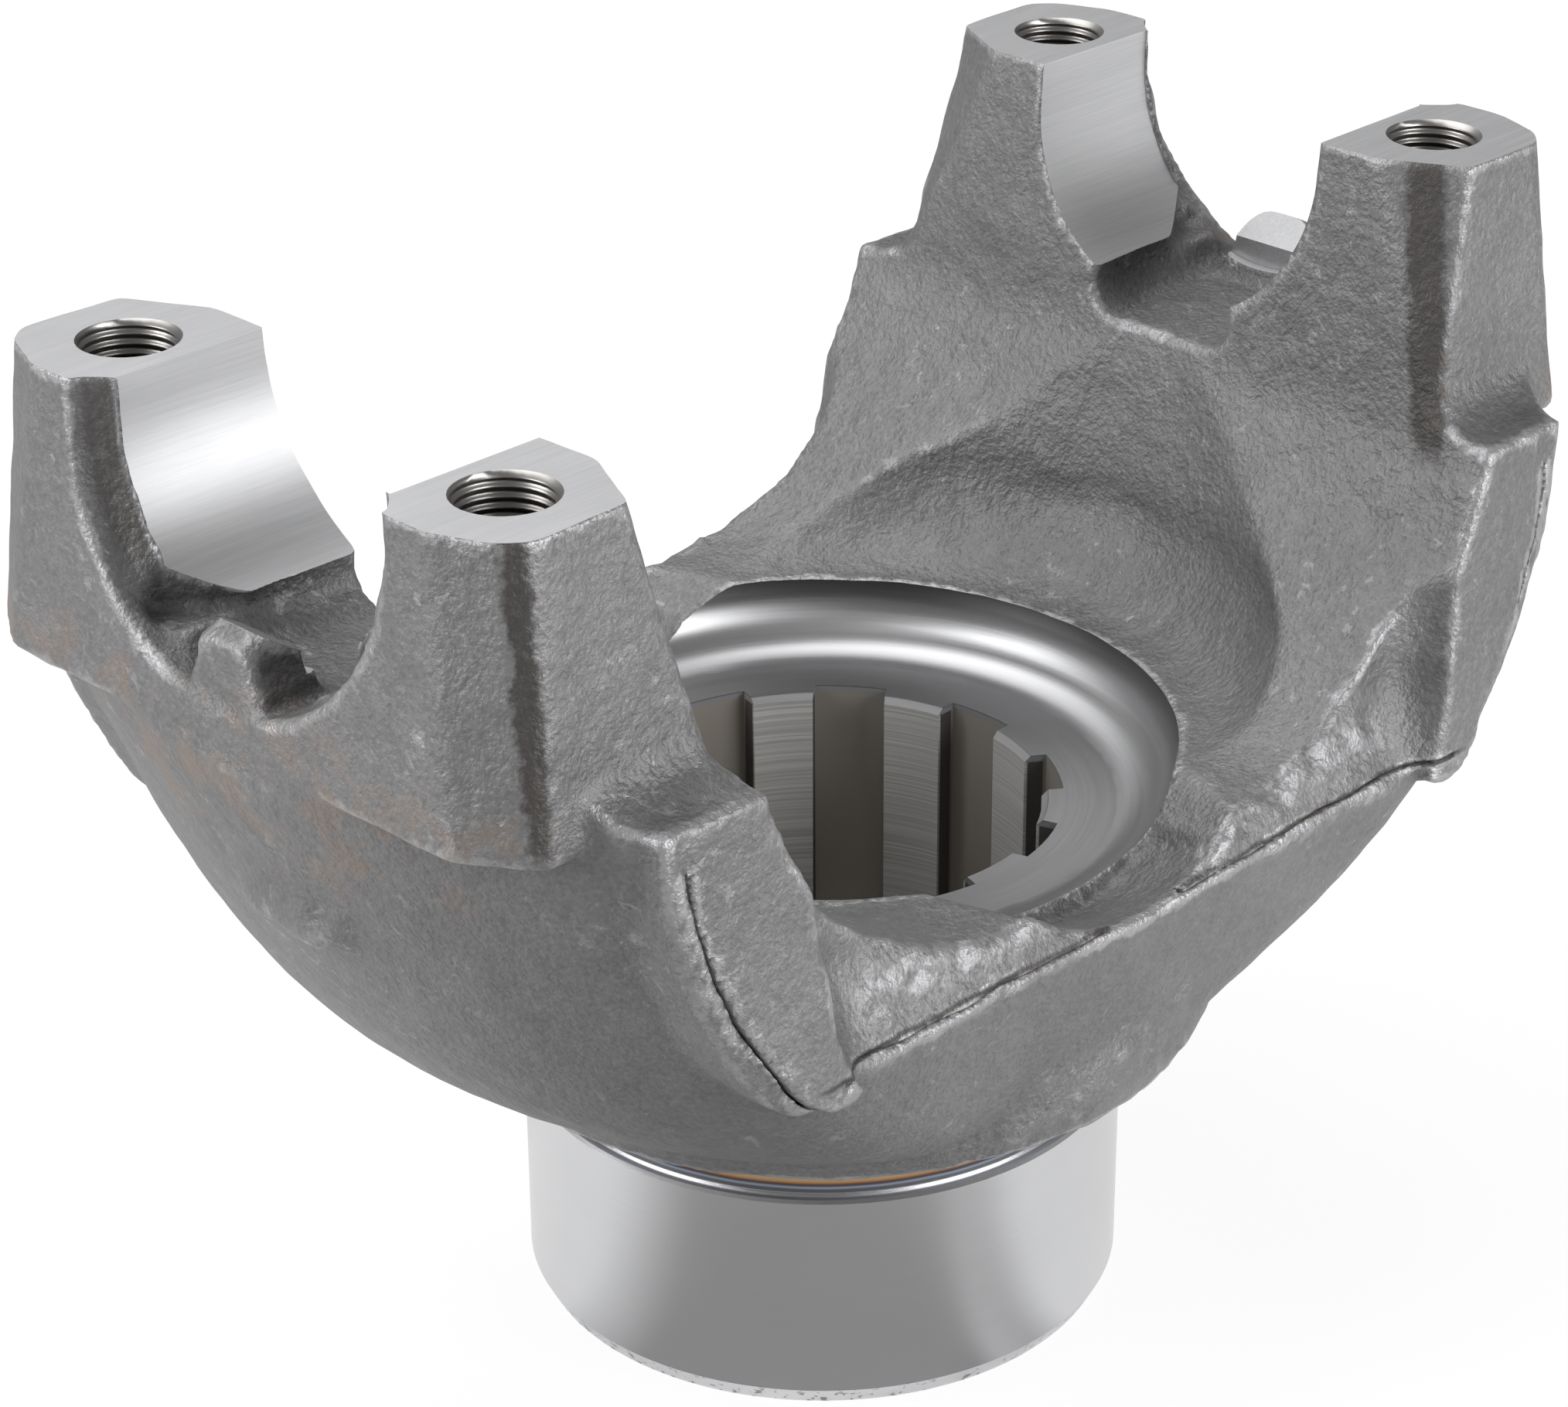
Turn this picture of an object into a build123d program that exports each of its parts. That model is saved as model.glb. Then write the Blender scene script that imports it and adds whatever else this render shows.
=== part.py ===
from build123d import *
import math
import os

os.makedirs("parts", exist_ok=True)

# Forged half-round end yoke for a driveline, one solid. Millimetres, Z up along the hub.
# X runs from arm to arm, Y across the pair of lugs on each arm. The hub stands on Z 0.

# Hub, ground for the seal, with a relieved neck and a collar above it
hub_d = 82.55
hub_h = 32.3
hub_edge = 0.4
foot_in = 1.3
foot_h = 2.5
neck_d = 79.2
neck_round = 4.5
collar_d = 107.4
collar_under_z = 42.3
collar_rise = 1.8
collar_h = 8.2
collar_round = 2.5

# Splined bore
spline_major_d = 65.4
spline_minor_d = 59.4
spline_width = 10.2
spline_teeth = 10
spline_phase = 0.75
tooth_lead = 0.9

# Nut seat turned into the middle of the forging
nut_floor_z = 71.1
nut_d = 95.4
nut_corner = 8.0

# Outer bowl, radius against height
bowl = [(42.0, 38.5), (48.0, 42.5), (63.8, 52.5), (73.9, 60.5), (85.3, 76.5), (91.0, 88.5),
        (95.9, 100.5), (99.3, 109.0), (100.6, 117.0)]
bowl_foot_z = 36.7
parting_z = 74.5
web_half = 58.0
web_foot_half = 46.0
web_foot_z = 34.5
web_round = 16.0
rim_z = 113.5
rim_half = 42.0
rim_slant = 4.0

# Saddle between the arms
saddle_z = 80.8
saddle_flat = 24.0
arm_in_top = 70.6
arm_in_low = 67.7
arm_in_z = 120.5
cavity_r = 63.4
cavity_corner = 15.0
cavity_top_r = 68.6
cavity_top_z = 121.5
web_top_half = 52.5
dip_z = 77.0
dip_r = 32.0
dip_slope = 20.0
dip_in = 5.0
recess_low = 57.2
recess_high = 61.5
recess_rise = 32.0
recess_round = 7.0
recess_tilt = 12.0

# Side wings above the parting line, and the lip of the lower die round them
wing_top_z = 117.0
wing_top_half = 57.0
wing_foot_half = 61.0
wing_foot_z = 72.3
wing_foot_x = 59.0
wing_top_x = 80.2
wing_bends = [(64.3, 76.0), (73.7, 90.3), (78.6, 103.5)]
wing_root_x = 50.0
lip = 3.8
lip_round = 1.4
lip_proud = 0.5
slot_w = 1.6
slot_h = 6.0
slot_depth = 3.0
ledge_round = 5.0

# Lugs
top_z = 151.2
block_z = 113.3
lug_out = 96.6
lug_out_low = 99.8
lug_half = 45.3
lug_half_low = 49.4
lug_foot_round = 1.2
lug_corner = 2.6
lug_root_x = 58.0
corner_x = 6.2
corner_y_low = 9.0
corner_y_top = 10.3
trim_z = 118.3
trim_in = 12.0
trim_out = 5.7
trim_drop = 1.2

# Bearing seats, relief channels and end tabs
seat_d = 49.2
seat_z = 146.5
seat_out = 92.6
groove_r = 27.7
groove_x = 95.6
channel_half = 12.4
channel_round = 5.0
corner_in = 84.5
corner_half = 18.5
channel_z = 118.0
channel_rise = 4.5
tab_in = 91.0
tab_out = 98.6
tab_top = 127.8
tab_half = 5.2
tab_round = 3.0
tab_nose = 1.5
tab_foot_half = 7.4
tab_side_half = 6.7
tab_side_z = 121.5
tab_slope = 32.0
tab_slope_z = 125.3
step_in = 86.0
step_slant = 4.6

# Strap bolt holes
bolt_x = 83.7
bolt_y = 33.4
bolt_drill = 11.4
bolt_mouth = 13.4
bolt_depth = 30.0

far = 120.0


def both(shape):
    return shape + mirror(shape, Plane.YZ)


def four(shape):
    return both(shape + mirror(shape, Plane.XZ))


def xz_prism(points, y0, y1):
    face = make_face(Polyline([(x, y0, z) for x, z in points], close=True))
    return extrude(face, amount=y1 - y0, dir=(0, 1, 0))


def yz_prism(points, x0, x1):
    face = make_face(Polyline([(x0, y, z) for y, z in points], close=True))
    return extrude(face, amount=x1 - x0, dir=(1, 0, 0))


def turned(lines):
    return revolve(make_face(lines), Axis.Z)


def slab(low_half, low_z, high_half, high_z):
    outline = [(-low_half, low_z), (low_half, low_z), (high_half, high_z), (-high_half, high_z)]
    return yz_prism(outline, -far, far)


# Hub, neck and collar in one turned profile
hub_r = hub_d / 2
neck_r = neck_d / 2
collar_r = collar_d / 2
collar_z = collar_under_z + collar_rise
sharp = Polyline((0, 0, 0), (hub_r - foot_in, 0, 0), (hub_r, 0, foot_h), (hub_r, 0, hub_h - hub_edge),
                 (hub_r - hub_edge, 0, hub_h), (neck_r, 0, hub_h), (neck_r, 0, collar_under_z),
                 (collar_r, 0, collar_z), (collar_r, 0, collar_z + collar_h), (0, 0, collar_z + collar_h),
                 close=True)
hub = turned(sharp)
neck_corner = hub.edges().filter_by(GeomType.CIRCLE).filter_by(
    lambda e: abs(e.arc_center.Z - collar_under_z) < 0.01)
hub = fillet(neck_corner, neck_round)
collar_corner = hub.edges().filter_by(GeomType.CIRCLE).filter_by(
    lambda e: abs(e.arc_center.Z - collar_z) < 0.01)
hub = fillet(collar_corner, collar_round)

# Bowl of the lower die, trimmed by the drafted web sides
bowl_curve = Spline([(r, 0, z) for r, z in bowl])
bowl_rim = Polyline((bowl[-1][0], 0, wing_top_z), (0, 0, wing_top_z), (0, 0, bowl_foot_z),
                    (neck_d / 2, 0, bowl_foot_z), (bowl[0][0], 0, bowl[0][1]))
round_bowl = turned(bowl_curve + bowl_rim)
low_part = round_bowl & slab(web_foot_half, web_foot_z, web_half, parting_z)
ridge = [e for e in low_part.edges() if abs(e.center().Y) > 35 and e.bounding_box().size.Z > 20]
low_part = fillet(ridge, web_round)
low_part = low_part & Pos(0, 0, collar_z + collar_round + far / 2) * Box(2 * far, 2 * far, far)
up_side = [(-web_half, parting_z), (web_half, parting_z), (wing_top_half, wing_top_z),
           (rim_half + rim_slant, wing_top_z), (rim_half, rim_z), (-rim_half, rim_z),
           (-rim_half - rim_slant, wing_top_z), (-wing_top_half, wing_top_z)]
up_part = round_bowl & yz_prism(up_side, -far, far)


# Side wings with the lip round their outer edge
def wing_outline(grow):
    line = [(wing_foot_x, wing_foot_z)] + wing_bends + [(wing_top_x, wing_top_z)]
    edge = Spline([(x + grow, 0, z) for x, z in line])
    back = Polyline((wing_top_x + grow, 0, wing_top_z), (wing_root_x, 0, wing_top_z),
                    (wing_foot_x - 4, 0, wing_foot_z + 1), (wing_foot_x + grow, 0, wing_foot_z))
    return extrude(make_face(edge + back), amount=far, dir=(0, 1, 0), both=True)


wing_slab = slab(wing_foot_half, wing_foot_z - 5, wing_top_half, wing_top_z)
wings = wing_outline(0) & wing_slab
lips = wing_outline(lip) & slab(web_half + lip_proud, wing_foot_z - 5, wing_top_half + lip_proud, wing_top_z)
lips = fillet([e for e in lips.edges() if e.center().X > 70 and e.bounding_box().size.Z > 30], lip_round)
outboard = Pos(wing_root_x + far / 2, 0, 0) * Box(far, 2 * far, 4 * far)
slot_cut = Box(slot_w, 2 * web_half, slot_h + 0.01)
slot_cut = Pos(wing_top_x + slot_w / 2 - 0.2, 0, wing_top_z - slot_h / 2) * slot_cut
slot_cut = fillet(slot_cut.edges().filter_by(Axis.Y).group_by(Axis.Z)[0], slot_w / 2 - 0.2)
slot_cut = slot_cut - slab(web_half - slot_depth, wing_foot_z, wing_top_half - slot_depth, wing_top_z + 1)
arms = both(wings + (lips & outboard) - slot_cut)


# Arm blocks that carry the lugs, drafted from the parting line to the machined tops
def ring(z, half, out, cut_y, bend_x, bend_y):
    right = [(lug_root_x, half - 1), (out - corner_x, half), (out - bend_x, half - bend_y),
             (out, half - cut_y)]
    left = [(x, -y) for x, y in reversed(right)]
    return make_face(Polyline([(x, y, z) for x, y in right + left], close=True))


low_ring = ring(block_z, lug_half_low, lug_out_low, corner_y_low, 0.7 * corner_x, 0.25 * corner_y_low)
top_ring = ring(top_z, lug_half, lug_out, corner_y_top, 0.5 * corner_x, 0.27 * corner_y_top)
block = loft([low_ring, top_ring], ruled=True)
rising = [e for e in block.edges() if e.bounding_box().size.Z > 30 and e.center().X > lug_root_x + 20]
block = fillet(rising, lug_corner)
foot_edges = block.edges().group_by(Axis.Z)[0].filter_by(lambda e: e.center().X > 75)
block = fillet(foot_edges, lug_foot_round)
# Rounded corner where the side of a lug comes down to the wing's ledge
ledge_half = lug_half_low - (lug_half_low - lug_half) * (wing_top_z - block_z) / (top_z - block_z)
ledge_in, ledge_far = ledge_half - 3, ledge_half + ledge_round
ledge_side = ledge_half - 0.2 * ledge_round
hollow_arc = ThreePointArc((lug_root_x, ledge_far, wing_top_z),
                           (lug_root_x, ledge_far - 0.7 * ledge_round, wing_top_z + 0.3 * ledge_round),
                           (lug_root_x, ledge_side, wing_top_z + ledge_round))
hollow_edge = Polyline((lug_root_x, ledge_side, wing_top_z + ledge_round),
                       (lug_root_x, ledge_in, wing_top_z + ledge_round),
                       (lug_root_x, ledge_in, wing_top_z - 1), (lug_root_x, ledge_far, wing_top_z - 1),
                       (lug_root_x, ledge_far, wing_top_z))
ledge = extrude(make_face(hollow_arc + hollow_edge), amount=far, dir=(1, 0, 0))
ledge = ledge & Cylinder(bowl[-1][0] - 0.4, 4 * far)
block = block + ledge + mirror(ledge, Plane.XZ)

# Trimmed corners beside the saddle
trim_a = Vector(arm_in_top, lug_half - trim_in, top_z)
trim_b = Vector(arm_in_top + trim_out, lug_half - trim_drop, top_z)
trim_c = Vector(arm_in_low + 0.6, lug_half_low - 0.2, trim_z)
trim_face = Plane(origin=trim_a, z_dir=(trim_b - trim_a).cross(trim_c - trim_a))
trim = trim_face * Pos(0, 0, far / 2) * Box(far, far, far)
trim = trim & Pos(arm_in_low, lug_half, trim_z + far / 2) * Box(far / 2, lug_half, far)
block = block - trim - mirror(trim, Plane.XZ)

body = hub + low_part + up_part + arms + both(block)

# Saddle sweep between the arms
sweep_curve = Spline([(saddle_flat, 0, saddle_z), (37.0, 0, saddle_z + 2.7), (47.5, 0, saddle_z + 8.3),
                      (55.4, 0, saddle_z + 15.3), (61.2, 0, saddle_z + 21.9),
                      (65.4, 0, saddle_z + 30.7), (arm_in_low, 0, arm_in_z)],
                     tangents=[(1, 0, 0), (0.09, 0, 1)])
arm_slope = (arm_in_top - arm_in_low) / (top_z - arm_in_z)
over_z = top_z + 20
over_x = arm_in_low + arm_slope * (over_z - arm_in_z)
sweep_edge = Polyline((arm_in_low, 0, arm_in_z), (over_x, 0, over_z), (0, 0, over_z),
                      (0, 0, saddle_z), (saddle_flat, 0, saddle_z))
saddle = both(extrude(make_face(sweep_curve + sweep_edge), amount=far, dir=(0, 1, 0), both=True))
body = body - saddle

# Round cavity for the joint to swing in
cavity_start = cavity_r - cavity_corner
bend = cavity_corner * math.sqrt(0.5)
cavity_arc = ThreePointArc((cavity_start, 0, saddle_z),
                           (cavity_start + bend, 0, saddle_z + cavity_corner - bend),
                           (cavity_r, 0, saddle_z + cavity_corner))
cavity_edge = Polyline((cavity_r, 0, saddle_z + cavity_corner), (cavity_top_r, 0, cavity_top_z),
                       (0, 0, cavity_top_z), (0, 0, saddle_z), (cavity_start, 0, saddle_z))
body = body - turned(cavity_arc + cavity_edge)

# Web sides recessed between the wings, with a dip in the middle of each top
recess_top = parting_z + recess_rise
recess = [(web_half - 0.4, parting_z), (web_top_half, parting_z + recess_tilt),
          (web_top_half - 1, recess_top + 8), (far, recess_top + 8), (far, parting_z)]
recess_ends = [(-recess_low, parting_z - 1), (recess_low, parting_z - 1), (recess_high, recess_top),
               (-recess_high, recess_top)]
side_cut = yz_prism(recess, -far, far) & xz_prism(recess_ends, 0, far)
inside = [e for e in side_cut.edges() if e.bounding_box().size.Z > 8 and e.center().Y < web_half]
side_cut = fillet(inside, recess_round)
dip = Rot(90 + dip_slope, 0, 0) * Cylinder(dip_r, web_half * 0.7)
dip = Pos(0, web_half - dip_in, dip_z + dip_r - 2) * dip
dip_room = Box(2 * recess_high, far, 2 * dip_r)
side_cut = side_cut + (dip & Pos(0, web_half * 0.7 + far / 2, saddle_z) * dip_room)
body = body - side_cut - mirror(side_cut, Plane.XZ)

# Nut seat and splined bore
nut = Pos(0, 0, nut_floor_z + nut_d / 4) * Cylinder(nut_d / 2, nut_d / 2)
nut = fillet(nut.edges().group_by(Axis.Z)[0], nut_corner)
minor_r = spline_minor_d / 2
bore = Cylinder(minor_r, far * 2)
lead = turned(Polyline((0, 0, nut_floor_z + 1), (minor_r + tooth_lead + 1, 0, nut_floor_z + 1),
                       (minor_r - 1, 0, nut_floor_z - tooth_lead - 1),
                       (0, 0, nut_floor_z - tooth_lead - 1), close=True))
slot = Pos(spline_major_d / 4, 0, 0) * Box(spline_major_d / 2, spline_width, far * 2)
slot = slot & Cylinder(spline_major_d / 2, far * 2)
slots = [Rot(0, 0, spline_phase + 360 / spline_teeth * k) * slot for k in range(spline_teeth)]
body = body - nut
body = body - (bore + lead + slots)

# Forged groove and relief channel below each bearing seat
flare = [(seat_out - 0.2, seat_d / 2 - 0.3), (groove_x, groove_r), (far, groove_r)]
flare_face = make_face(Polyline([(x, 0, seat_z - r) for x, r in flare] + [(far, 0, seat_z),
                                (seat_out - 0.2, 0, seat_z)], close=True))
groove = revolve(flare_face, Axis((0, 0, seat_z), (1, 0, 0)))
flare_plan = flare + [(x, -r) for x, r in reversed(flare)]
flare_top = make_face(Polyline([(x, y, seat_z) for x, y in flare_plan], close=True))
groove = groove + extrude(flare_top, amount=far, dir=(0, 0, 1))
channel_h = seat_z - channel_z
channel = Box(2 * arm_in_low, 2 * channel_half, channel_h)
channel = fillet(channel.edges().filter_by(Axis.X), channel_round)
channel = Pos(0, 0, channel_h / 2) * channel
channel = Pos(arm_in_low, 0, channel_z) * Rot(0, -channel_rise, 0) * channel
channel = channel & Pos(wing_root_x + far / 2, 0, channel_z) * Box(far, far, channel_h)
corner_plan = [(corner_in, channel_half - 1), (corner_in, channel_half), (seat_out, corner_half),
               (groove_x, corner_half), (groove_x, channel_half - 1)]
corner_cut = make_face(Polyline([(x, y, channel_z + channel_round) for x, y in corner_plan], close=True))
corner_cut = extrude(corner_cut, amount=channel_h - channel_round, dir=(0, 0, 1))
body = body - both(groove + channel + corner_cut + mirror(corner_cut, Plane.XZ))

# Machined seats
seat_w = seat_out - wing_root_x
seat_mid = (wing_root_x + seat_out) / 2
seat = Pos(seat_mid, 0, seat_z) * Rot(0, 90, 0) * Cylinder(seat_d / 2, seat_w)
seat = seat + Pos(seat_mid, 0, seat_z + seat_d / 4) * Box(seat_w, seat_d, seat_d / 2)
body = body - both(seat)

# End tabs on a low step, faced by the seat cutter and sloped off on top
tab_low = seat_z - groove_r - 2
tab_knee = tab_top - tab_round - 0.6
tab_right = [(tab_foot_half, tab_low), (tab_side_half, tab_side_z), (tab_half, tab_knee), (tab_half, tab_top)]
tab_outline = tab_right + [(-y, z) for y, z in reversed(tab_right)]
tab = yz_prism(tab_outline, step_in, tab_out)
tab = fillet(tab.edges().filter_by(Axis.X).group_by(Axis.Z)[-1], tab_round)
nose = [e for e in tab.edges() if e.center().X > tab_out - 0.1 and e.center().Z > tab_low + 5]
tab = fillet(nose, tab_nose)
step_cut = Pos(tab_in - seat_d / 4, 0, seat_z) * Rot(0, 90, 0) * Cylinder(seat_d / 2, seat_d / 2)
slope_cut = Pos(0, 0, tab_out - tab_in) * Box(2 * (tab_out - tab_in), 4 * tab_half, 2 * (tab_out - tab_in))
slope_cut = Pos(tab_in, 0, tab_slope_z) * Rot(0, -tab_slope, 0) * slope_cut
step_slope = [(step_in - 1, tab_low), (step_in, tab_low), (tab_in, tab_low + step_slant + 1),
              (tab_in, tab_top), (step_in - 1, tab_top)]
tab = tab - step_cut - slope_cut - xz_prism(step_slope, -far, far)
body = body + both(tab)

# Tapped holes for the bearing straps
hole = Pos(0, 0, -bolt_depth / 2) * Cylinder(bolt_drill / 2, bolt_depth)
hole = hole + Pos(0, 0, -bolt_depth - 1.6) * Cone(0.1, bolt_drill / 2, 3.2)
hole = hole + Pos(0, 0, -0.5) * Cone(bolt_drill / 2, bolt_mouth / 2 + 0.1, 1.2)
body = body - four(Pos(bolt_x, bolt_y, top_z) * hole)

yoke = body.solids().sort_by(SortBy.VOLUME)[-1]
yoke.label = "yoke"
export_step(yoke, "parts/yoke.step")
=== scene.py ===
import math
from contextlib import contextmanager

import bmesh
import bpy
import numpy as np
from mathutils import Matrix, Vector, noise


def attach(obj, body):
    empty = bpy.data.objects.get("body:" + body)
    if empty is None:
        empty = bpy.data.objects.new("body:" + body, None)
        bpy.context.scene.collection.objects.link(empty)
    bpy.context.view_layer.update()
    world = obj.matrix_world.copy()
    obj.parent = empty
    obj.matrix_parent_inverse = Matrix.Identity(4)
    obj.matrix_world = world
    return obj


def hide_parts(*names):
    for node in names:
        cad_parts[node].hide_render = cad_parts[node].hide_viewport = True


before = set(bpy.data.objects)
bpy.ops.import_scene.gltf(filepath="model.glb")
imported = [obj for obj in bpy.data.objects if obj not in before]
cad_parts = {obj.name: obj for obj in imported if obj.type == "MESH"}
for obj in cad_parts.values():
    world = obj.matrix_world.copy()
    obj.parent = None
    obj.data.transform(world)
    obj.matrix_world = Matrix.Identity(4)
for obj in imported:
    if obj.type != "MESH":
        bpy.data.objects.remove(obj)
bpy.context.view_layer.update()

MM = 0.001
QUARTERS = ((-1, -1), (-1, 1), (1, -1), (1, 1))

# Sizes shared with the part's source, in millimetres
TOP_Z = 151.2
SEAT_Z = 146.5
SEAT_R = 24.6
SEAT_OUT = 92.6
TAB_IN = 91.0
TAB_SLOPE_Z = 125.3
TAB_SLOPE = math.tan(math.radians(32))
NUT_R = 47.7
NUT_FLOOR_Z = 71.1
NUT_CORNER = 8.0
HUB_R = 41.275
HUB_H = 32.3
HUB_EDGE = 0.4
FOOT_IN = 1.3
FOOT_H = 2.5
NECK_R = 39.6
NECK_ROUND = 4.5
COLLAR_UNDER_Z = 42.3
CUP_R = 51.2
CUP_TOP_Z = 43.75
BOLT_X = 83.7
BOLT_Y = 33.4
BOLT_DRILL_R = 5.7
BOLT_DEEP = 30.0
MAJOR_R = 32.7
MINOR_R = 29.7
SPLINE_W = 10.2
TEETH = 10
PHASE = 0.75
LEAD = 0.9
PARTING_Z = 74.9

# Thread of the strap bolts, 20 turns to the inch
THREAD_PITCH = 1.27
THREAD_RISE = 0.5
THREAD_ROW = 0.21
THREAD_TURN = 36
THREAD_DEEP = 17.0
MOUTH_R = 6.45
MOUTH_FOOT_R = 5.95
TIP_DEEP = 33.2

# Softening of the forged skin
STOCK = 1.7
VOXEL = 1.12
SOFTEN_STEPS = 4
MELT_STEPS = 60
MELT_X = 16
MELT_Y = 47
MELT_LOW_Z, MELT_TOP_Z = 44, 62
WORN_DEPTH = 0.35
WIDE_LUMP = 6.5
CLOSE_LUMP = 2.8
FLASH_X = 50.0
FLASH_LOW_Z, FLASH_TOP_Z = 76.0, 87.0

# Cracks where the dies met
LIP_BENDS = [(59.6, 72.8), (64.3, 76.0), (73.7, 90.3), (78.6, 103.5), (80.1, 111.5)]
PARTING_RISE = 0.016
CRACK_OUT_Y = 63.0
LIP_CRACK_Y = 55.4
PARTING_CRACK_Y = 55.9

# How far a face may lie from an exact machined surface, in millimetres
CAD_SLACK = 0.2
CUT_SLACK = 0.05
ON_FACE = 0.1
FACING = 0.9
TAP_REACH = 6.9
TAP_LOW_Z = 110
NUT_TOP_Z = 90
SEAT_IN = 55
TAB_HALF = 8
TAB_END = 99

# Merging distances, in metres
CAD_MERGE = 1e-5
TOOL_MERGE = 1e-7
SLIVER = 2e-7

# Colours
WORN_STEEL = (0.43, 0.43, 0.44)
RUST = (0.27, 0.19, 0.13)
DARK_SCALE_AND_SHADE = (0.040, 0.034, 0.029)
DARK_FLANKS_AND_DIRT = (0.07, 0.065, 0.06)
TOOTH_DARK, TOOTH_PALE = (0.36, 0.355, 0.345), (0.52, 0.515, 0.50)
GROOVE_FLOOR = (0.25, 0.228, 0.2)
THREAD_MOUTH_TONE, THREAD_BOTTOM_TONE = (0.30, 0.29, 0.28), (0.05, 0.045, 0.04)
HEAT_TINT = [
    (0.0, (0.12, 0.12, 0.13)), (0.30, (0.09, 0.09, 0.10)), (0.42, (0.26, 0.31, 0.37)),
    (0.53, (0.06, 0.055, 0.09)), (0.62, (0.12, 0.06, 0.04)), (0.74, (0.42, 0.22, 0.08)),
    (0.88, (0.40, 0.31, 0.20)), (1.0, (0.24, 0.23, 0.22))]
HEAT_H = 2.6

# Grey cards that the metal mirrors, by their heading round the part
CARDS = [(0.0, 0.28), (0.09, 0.28), (0.105, 0.6), (0.13, 0.5), (0.16, 1), (0.34, 1),
         (0.40, 0.5), (0.62, 0.5), (0.69, 1), (0.82, 1), (0.89, 0.28)]

# The photograph's camera, in its pixels, degrees and millimetres
PHOTO_W, PHOTO_H = 2028, 1820
FOCAL = 5502.3
CENTRE_X, CENTRE_Y = 1020.11, 917.92
AZIMUTH, ELEVATION, ROLL = -45.296, 26.355, -0.323
DISTANCE, SHIFT_RIGHT, SHIFT_UP, LIFT = 604.265, -4.351, 72.563, 2.5
SENSOR = 36.0


# Shader maths on sockets
class Wire:
    def __init__(self, tree, socket):
        self.tree = tree
        self.socket = socket

    def math(self, operation, *others, clamp=False):
        node = self.tree.nodes.new("ShaderNodeMath")
        node.operation = operation
        node.use_clamp = clamp
        for place, value in enumerate((self,) + others):
            join(self.tree, node.inputs[place], value)
        return Wire(self.tree, node.outputs[0])

    def __add__(self, other):
        return self.math("ADD", other)

    def __sub__(self, other):
        return self.math("SUBTRACT", other)

    def __mul__(self, other):
        return self.math("MULTIPLY", other)

    def __truediv__(self, other):
        return self.math("DIVIDE", other)

    def __rsub__(self, other):
        return number(self.tree, other) - self

    def __rtruediv__(self, other):
        return number(self.tree, other) / self

    def __abs__(self):
        return self.math("ABSOLUTE")

    def __pow__(self, other):
        return self.math("POWER", other)

    __radd__ = __add__
    __rmul__ = __mul__

    def over(self, edge, width):
        return ((self - edge) / width + 0.5).math("ADD", 0.0, clamp=True)

    def under(self, edge, width):
        return ((edge - self) / width + 0.5).math("ADD", 0.0, clamp=True)

    def most(self, other):
        return self.math("MAXIMUM", other)

    def least(self, other):
        return self.math("MINIMUM", other)


def number(tree, value):
    node = tree.nodes.new("ShaderNodeValue")
    node.outputs[0].default_value = value
    return Wire(tree, node.outputs[0])


def join(tree, socket, value):
    if isinstance(value, Wire):
        tree.links.new(value.socket, socket)
    elif isinstance(value, bpy.types.NodeSocket):
        tree.links.new(value, socket)
    elif hasattr(value, "__len__") and len(socket.default_value) == 4:
        socket.default_value = tuple(value) + (1.0,)
    else:
        socket.default_value = value


class Finish:
    def __init__(self, name):
        self.material = bpy.data.materials.new(name)
        self.material.use_nodes = True
        self.tree = self.material.node_tree
        self.shader = self.tree.nodes["Principled BSDF"]
        place = self.node("TexCoord", "Object")
        self.place = self.node("VectorMath", 0, {"operation": "SCALE"}, {0: place, "Scale": 1 / MM})
        split = self.node("SeparateXYZ", 0, {}, {0: self.place}).socket.node
        self.x, self.y, self.z = (Wire(self.tree, split.outputs[k]) for k in range(3))

    def node(self, kind, out, settings=None, values=None):
        node = self.tree.nodes.new("ShaderNode" + kind)
        for name, value in (settings or {}).items():
            if name == "stops":
                ramp = node.color_ramp
                while len(ramp.elements) < len(value):
                    ramp.elements.new(1.0)
                for element, (at, colour) in zip(ramp.elements, value):
                    element.position = at
                    element.color = tuple(colour) + (1.0,)
            else:
                setattr(node, name, value)
        for name, value in (values or {}).items():
            join(self.tree, node.inputs[name], value)
        return Wire(self.tree, node.outputs[out])

    def noise(self, size, detail=2.0, rough=0.5, place=None, distortion=0.0):
        return self.node("TexNoise", "Fac", {}, {"Vector": place or self.place, "Scale": 1.0 / size,
                         "Detail": detail, "Roughness": rough, "Distortion": distortion})

    def mix(self, amount, first, second):
        return self.node("Mix", 2, {"data_type": "RGBA"}, {0: amount, 6: first, 7: second})

    def ramp(self, stops, at):
        return self.node("ValToRGB", 0, {"stops": stops}, {0: at})

    def tinted(self, red, green, blue):
        return self.node("CombineColor", 0, {}, {0: red, 1: green, 2: blue})

    def point(self, x, y, z):
        return self.node("CombineXYZ", 0, {}, {0: x, 1: y, 2: z})

    def heading(self, y, x):
        return self.node("Math", 0, {"operation": "ARCTAN2"}, {0: y, 1: x})

    def bump(self, height, distance, strength):
        return self.node("Bump", 0, {}, {"Height": height, "Distance": distance * MM, "Strength": strength})

    def set(self, name, value):
        join(self.tree, self.shader.inputs[name], value)
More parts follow.
